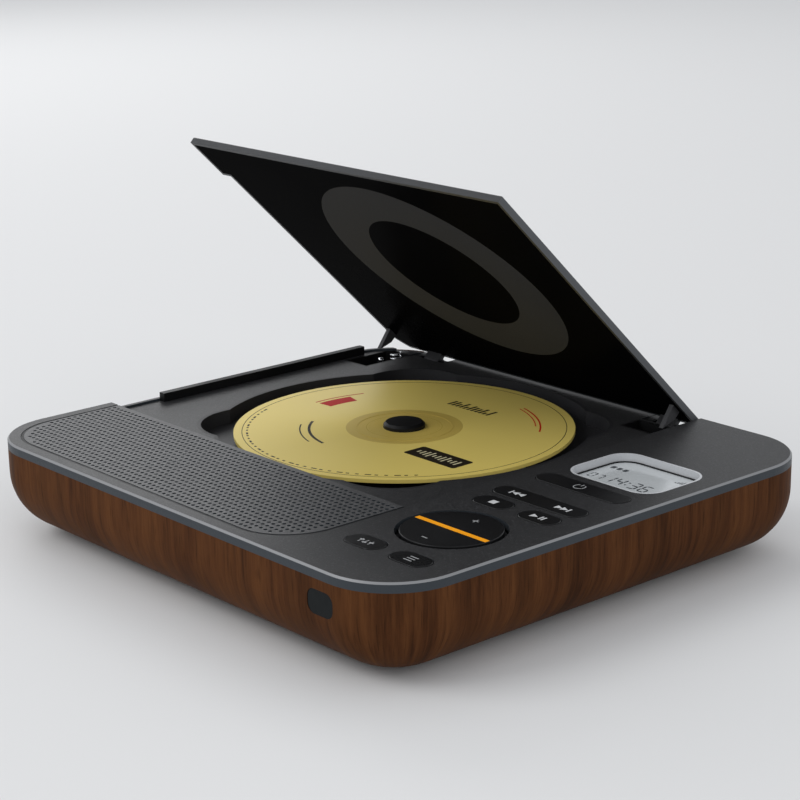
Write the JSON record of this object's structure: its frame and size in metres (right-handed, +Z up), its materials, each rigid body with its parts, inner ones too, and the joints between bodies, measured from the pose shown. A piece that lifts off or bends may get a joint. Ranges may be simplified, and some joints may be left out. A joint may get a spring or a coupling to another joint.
{
  "type": "desktop disc player",
  "caption": "Flat desktop disc player with a wood-look shell, a flip-up lid over the disc well, a speaker grille, a display and button controls.",
  "frame": {"origin": "on the table, at the centre of the footprint", "axes": "+X to the user's right, +Y to the back, +Z up"},
  "size_m": [0.213, 0.191, 0.1254],
  "materials": {
    "walnut": "satin veneer",
    "deck_metal": "fine textured charcoal",
    "grille_metal": "perforated, satin",
    "lid_metal": "fine textured charcoal",
    "lid_gloss": "gloss",
    "ring_grey": "satin",
    "black_plastic": "satin",
    "well_grey": "satin",
    "rubber": "matte",
    "steel": "brushed",
    "spring_steel": "polished",
    "disc_gold": "gloss",
    "light_orange": "satin",
    "lcd_frame": "satin",
    "lcd_face": "gloss",
    "button_black": "satin",
    "board_green": "satin",
    "chip_black": "matte",
    "capacitor_sleeve": "satin",
    "cloth_black": "woven",
    "cone_paper": "matte",
    "magnet_iron": "matte",
    "lens_glass": "clear",
    "window_dark": "gloss",
    "battery_wrap": "satin"
  },
  "bodies": {
    "base": {"wood_shell": "walnut", "bottom_cover": "black_plastic", "rubber_feet": "rubber", "cover_screws": "steel", "deck_screws": "steel", "top_deck": "deck_metal", "infrared_window": "window_dark", "disc_well": "well_grey", "speaker_grille": "grille_metal", "grille_cloth": "cloth_black", "speaker_frames": "steel", "speaker_surrounds": "rubber", "speaker_cones": "cone_paper", "speaker_magnets": "magnet_iron", "button_board": "board_green", "tact_switches": "steel", "lcd_bezel": "lcd_frame", "lcd_panel": "lcd_face", "mechanism_chassis": "steel", "mechanism_dampers": "rubber", "spindle_motor": "steel", "guide_rod": "steel", "sled_motor": "steel", "lid_side_rail": "black_plastic", "hinge_cover": "black_plastic", "hinge_blocks": "black_plastic", "hinge_pins": "steel", "lid_torsion_springs": "spring_steel", "hinge_bay_liners": "black_plastic", "lid_push_spring": "spring_steel", "guide_post": "spring_steel", "main_board": "board_green", "main_board_chips": "chip_black", "main_board_capacitors": "capacitor_sleeve", "battery_pack": "battery_wrap", "rear_port_panel": "black_plastic", "headphone_jack": "black_plastic", "usb_c_socket": "steel", "port_board": "board_green"},
    "lid": {"lid_panel": "lid_metal", "lid_liner": "lid_gloss", "lid_ring": "ring_grey", "lid_hinge_arms": "steel", "lid_stop_hooks": "lid_metal"},
    "turntable": {"turntable_hub": "black_plastic", "hub_pawls": "black_plastic", "spindle_shaft": "steel", "compact_disc": "disc_gold"},
    "pickup": {"pickup_sled": "black_plastic", "objective_lens": "lens_glass"},
    "sled_screw": {"lead_screw": "steel"},
    "power": {"power_button": "button_black"},
    "stop": {"stop_button": "button_black"},
    "play_pause": {"play_pause_button": "button_black"},
    "eq": {"eq_button": "button_black"},
    "menu": {"menu_button": "button_black"},
    "skip": {"skip_rocker": "button_black"},
    "volume": {"volume_rocker": "button_black", "light_bar": "light_orange"}
  },
  "joints": [
    {"name": "lid_hinge", "type": "hinge", "parent": "base", "child": "lid", "pos_m": [-0.019, 0.0915, 0.0291], "axis": [-1, 0, 0], "range_deg": [-44, 0], "stiffness_Nm_per_rad": 0.1, "springref_deg": 57.3},
    {"name": "disc_spin", "type": "hinge", "parent": "base", "child": "turntable", "pos_m": [-0.021, 0.024, 0.029], "axis": [0, 0, -1], "continuous": true},
    {"name": "pickup_slide", "type": "slide", "parent": "base", "child": "pickup", "axis": [1, 0, 0], "range_m": [0, 0.034]},
    {"name": "sled_screw_spin", "type": "hinge", "parent": "base", "child": "sled_screw", "pos_m": [0.02, 0.013, 0.0226], "axis": [1, 0, 0], "range_deg": [-1, 4081]},
    {"name": "power_press", "type": "slide", "parent": "base", "child": "power", "axis": [0, 0, -1], "range_m": [0, 0.0008], "stiffness_N_per_m": 600, "springref_m": -0.0005},
    {"name": "stop_press", "type": "slide", "parent": "base", "child": "stop", "axis": [0, 0, -1], "range_m": [0, 0.0008], "stiffness_N_per_m": 600, "springref_m": -0.0005},
    {"name": "play_pause_press", "type": "slide", "parent": "base", "child": "play_pause", "axis": [0, 0, -1], "range_m": [0, 0.0008], "stiffness_N_per_m": 600, "springref_m": -0.0005},
    {"name": "eq_press", "type": "slide", "parent": "base", "child": "eq", "axis": [0, 0, -1], "range_m": [0, 0.0008], "stiffness_N_per_m": 600, "springref_m": -0.0005},
    {"name": "menu_press", "type": "slide", "parent": "base", "child": "menu", "axis": [0, 0, -1], "range_m": [0, 0.0008], "stiffness_N_per_m": 600, "springref_m": -0.0005},
    {"name": "skip_rock", "type": "hinge", "parent": "base", "child": "skip", "pos_m": [0.079, -0.0083, 0.0304], "axis": [0, 1, 0], "range_deg": [-2, 2], "stiffness_Nm_per_rad": 0.4},
    {"name": "volume_rock", "type": "hinge", "parent": "base", "child": "volume", "pos_m": [0.0789, -0.0452, 0.0304], "axis": [1, 0, 0], "range_deg": [-2.5, 2.5], "stiffness_Nm_per_rad": 0.4}
  ],
  "couplings": [
    {"joint": "sled_screw_spin", "follows": "pickup_slide", "rad_per_m": 2094.4}
  ]
}
